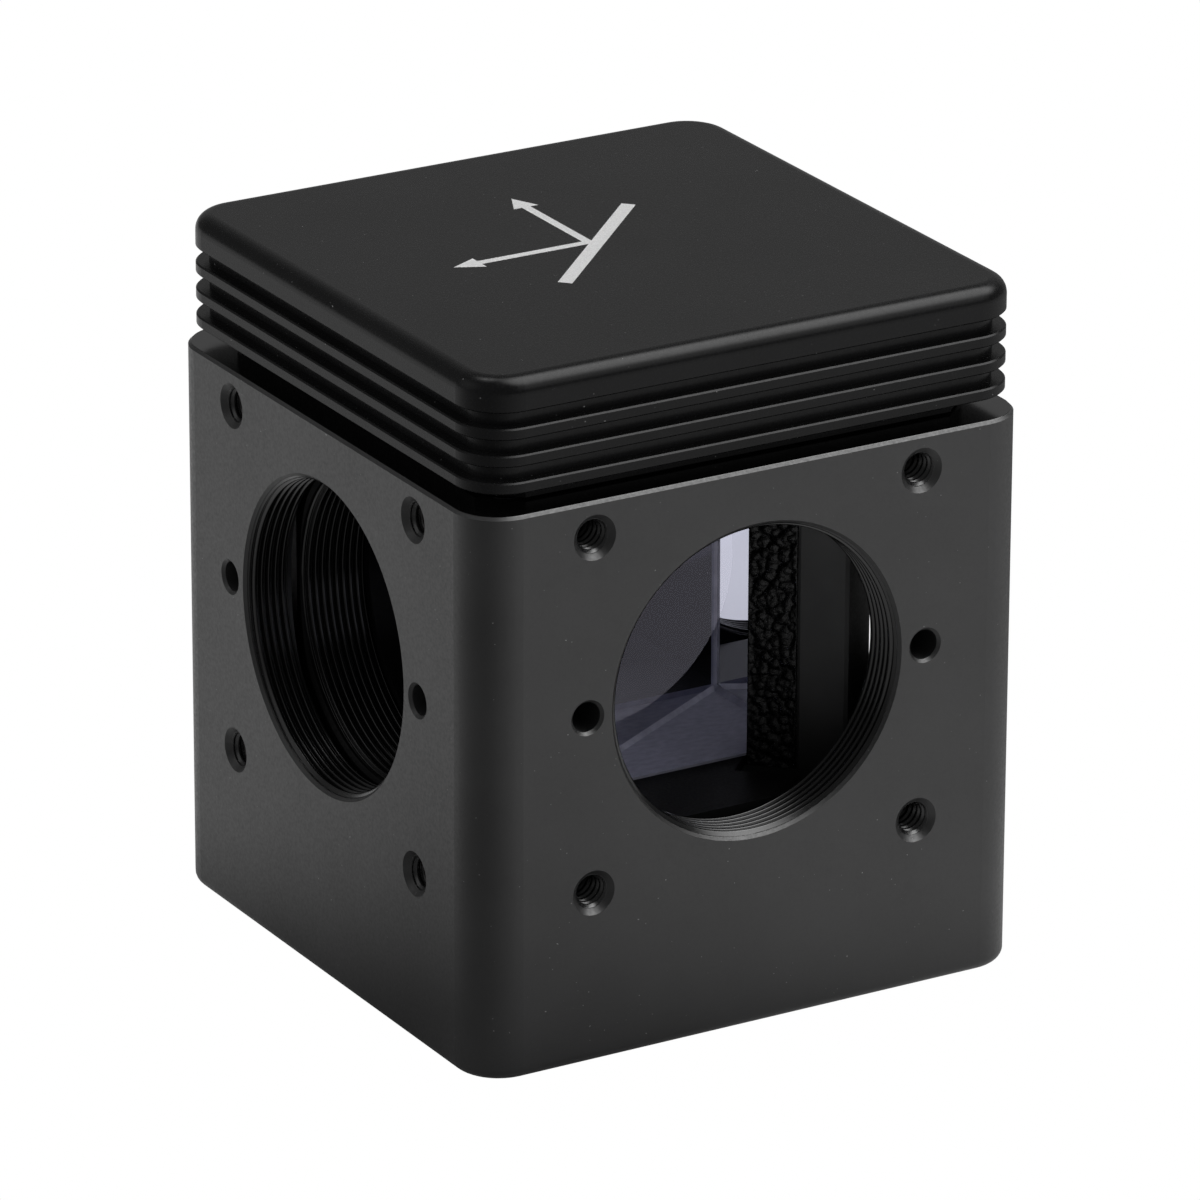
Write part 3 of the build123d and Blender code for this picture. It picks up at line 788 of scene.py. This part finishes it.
def table_glow(tree):
    """What the table shows in glossy faces: the dim level, plus a share of the rest that grows
    with the square of how far the place lies along the bright way, on either side. The cube's
    own shade darkens the table close to it."""
    place = tree.nodes.new("ShaderNodeTexCoord").outputs["Object"]
    way = vector_maths(tree, "NORMALIZE", "Vector", place)
    along = vector_maths(tree, "DOT_PRODUCT", "Value", way, BRIGHT_WAY)
    square = maths(tree, "MULTIPLY", along, along)
    side = maths(tree, "GREATER_THAN", along, 0.0)
    reach = maths(tree, "MULTIPLY_ADD", side, TABLE_RIGHT - TABLE_LEFT, TABLE_LEFT - TABLE_DIM)
    glow = maths(tree, "MULTIPLY_ADD", square, reach, TABLE_DIM)
    away = vector_maths(tree, "LENGTH", "Value", place)
    clear = spread(tree, away, *SHADE_REACH, SHADE_LEVEL, 1.0)
    return maths(tree, "MULTIPLY", glow, clear)


def through_glass(tree, path):
    """1 for a ray through glass that has been mirrored once at most, and 0 for all others. A
    ray mirrored more often would bring the white backdrop into the dark bores."""
    early = maths(tree, "LESS_THAN", path.outputs["Glossy Depth"], ONE_BOUNCE)
    return maths(tree, "MULTIPLY", path.outputs["Is Transmission Ray"], early)


def white_stage_finish():
    """A floor that is white to the camera and through glass, takes a soft shadow, and is clear
    from below."""
    material, tree, shader = new_finish("white_stage")
    shader.inputs["Base Color"].default_value = (0.9, 0.9, 0.9, 1)
    shader.inputs["Roughness"].default_value = 0.8
    path = tree.nodes.new("ShaderNodeLightPath")
    glow = tree.nodes.new("ShaderNodeEmission")
    direct = maths(tree, "MAXIMUM", path.outputs["Is Camera Ray"], through_glass(tree, path))
    level = blend(tree, direct, table_glow(tree), 1.0, kind="FLOAT")
    tree.links.new(level, glow.inputs["Strength"])
    shown = maths(tree, "MAXIMUM", path.outputs["Is Glossy Ray"],
                  maths(tree, "MAXIMUM", path.outputs["Is Camera Ray"],
                        path.outputs["Is Transmission Ray"]))
    under = tree.nodes.new("ShaderNodeNewGeometry").outputs["Backfacing"]
    clear = tree.nodes.new("ShaderNodeBsdfTransparent")
    surface = shader.outputs["BSDF"]
    for factor, other in ((shown, glow.outputs["Emission"]), (under, clear.outputs["BSDF"])):
        mix = tree.nodes.new("ShaderNodeMixShader")
        for socket, value in zip(mix.inputs, (factor, surface, other)):
            tree.links.new(value, socket)
        surface = mix.outputs["Shader"]
    tree.links.new(surface, tree.nodes["Material Output"].inputs["Surface"])
    return material


floor_mesh = bpy.data.meshes.new("floor")
corners = [(-1, -1), (1, -1), (1, 1), (-1, 1)]
floor_mesh.from_pydata([(x * FLOOR_HALF, y * FLOOR_HALF, -FLOOR_DROP) for x, y in corners], [],
                       [(0, 1, 2, 3)])
floor_mesh.materials.append(white_stage_finish())
floor = bpy.data.objects.new("floor", floor_mesh)
bpy.context.scene.collection.objects.link(floor)
print("floor", 2 * FLOOR_HALF, "m wide")

# %% [markdown]
# ## The room
# Above the table the room is dim, which keeps the lid darker than the sides. Soft round panels
# in the world stand in for a studio's softboxes: glossy faces mirror them, and each one was
# placed where a face of the cube looks. Two area lamps give the light that falls on the matt
# skin and draws the soft shadow. They aren't mirrored, because the panels already are.

# %% World and lamps
WORLD_AS_LAMP = 0.42
ROOM_DIM = 0.16
PANELS = [
    ((0.47, -0.2, 0.86), 15, 33, 8.0),
    ((-0.1, 0.3, 0.95), 4, 14, 6.0),
    ((0.55, 0.76, 0.33), 12, 46, 0.16),
    ((-0.83, 0.34, 0.44), 10, 30, 0.5),
    ((0.49, -0.75, 0.45), 5, 18, 1.6),
]
LAMP_SIZE, LAMP_POWER = 0.6, 4.0


def room_glow(tree):
    """What glossy faces see of the room: a dim level, and soft round panels that add to it.

    A panel is a direction, the angles in degrees at which it starts and ends to fade, and how
    much it adds."""
    place = tree.nodes.new("ShaderNodeTexCoord").outputs["Generated"]
    total = ROOM_DIM
    for direction, core, edge, glow in PANELS:
        share = vector_maths(tree, "DOT_PRODUCT", "Value", place, Vector(direction).normalized())
        low, high = math.cos(math.radians(edge)), math.cos(math.radians(core))
        total = maths(tree, "ADD", total, spread(tree, share, low, high, 0, glow))
    return total


def room_light(tree):
    """The world's strength for each kind of ray: a lamp for matt faces, panels for glossy ones,
    white for the camera and through glass."""
    path = tree.nodes.new("ShaderNodeLightPath")
    level = WORLD_AS_LAMP
    for chooser, value in ((path.outputs["Is Glossy Ray"], room_glow(tree)),
                           (path.outputs["Is Transmission Ray"], ROOM_DIM),
                           (through_glass(tree, path), 1.0),
                           (path.outputs["Is Camera Ray"], 1.0)):
        level = blend(tree, chooser, level, value, kind="FLOAT")
    return level


def soft_lamp(name, place):
    """A square area lamp that looks at the middle of the cube and isn't mirrored in it."""
    light = bpy.data.lights.new(name, "AREA")
    light.size, light.energy = LAMP_SIZE, LAMP_POWER
    lamp = bpy.data.objects.new(name, light)
    lamp.location, lamp.visible_glossy = place, False
    aim = Vector((0, 0, port_z)) - Vector(place)
    lamp.rotation_euler = aim.to_track_quat("-Z", "Y").to_euler()
    bpy.context.scene.collection.objects.link(lamp)


world = bpy.data.worlds.new("studio")
bpy.context.scene.world = world
world.use_nodes = True
sky = world.node_tree.nodes["Background"]
feed(world.node_tree, sky.inputs["Strength"], room_light(world.node_tree))
sky.inputs["Color"].default_value = (1, 1, 1, 1)
soft_lamp("left_softbox", (-0.85, 0.35, 0.45))
soft_lamp("front_softbox", (0.55, -0.85, 0.5))
bpy.context.scene.view_settings.view_transform = "Standard"
print("stage set with", len(PANELS), "panels and two lamps")
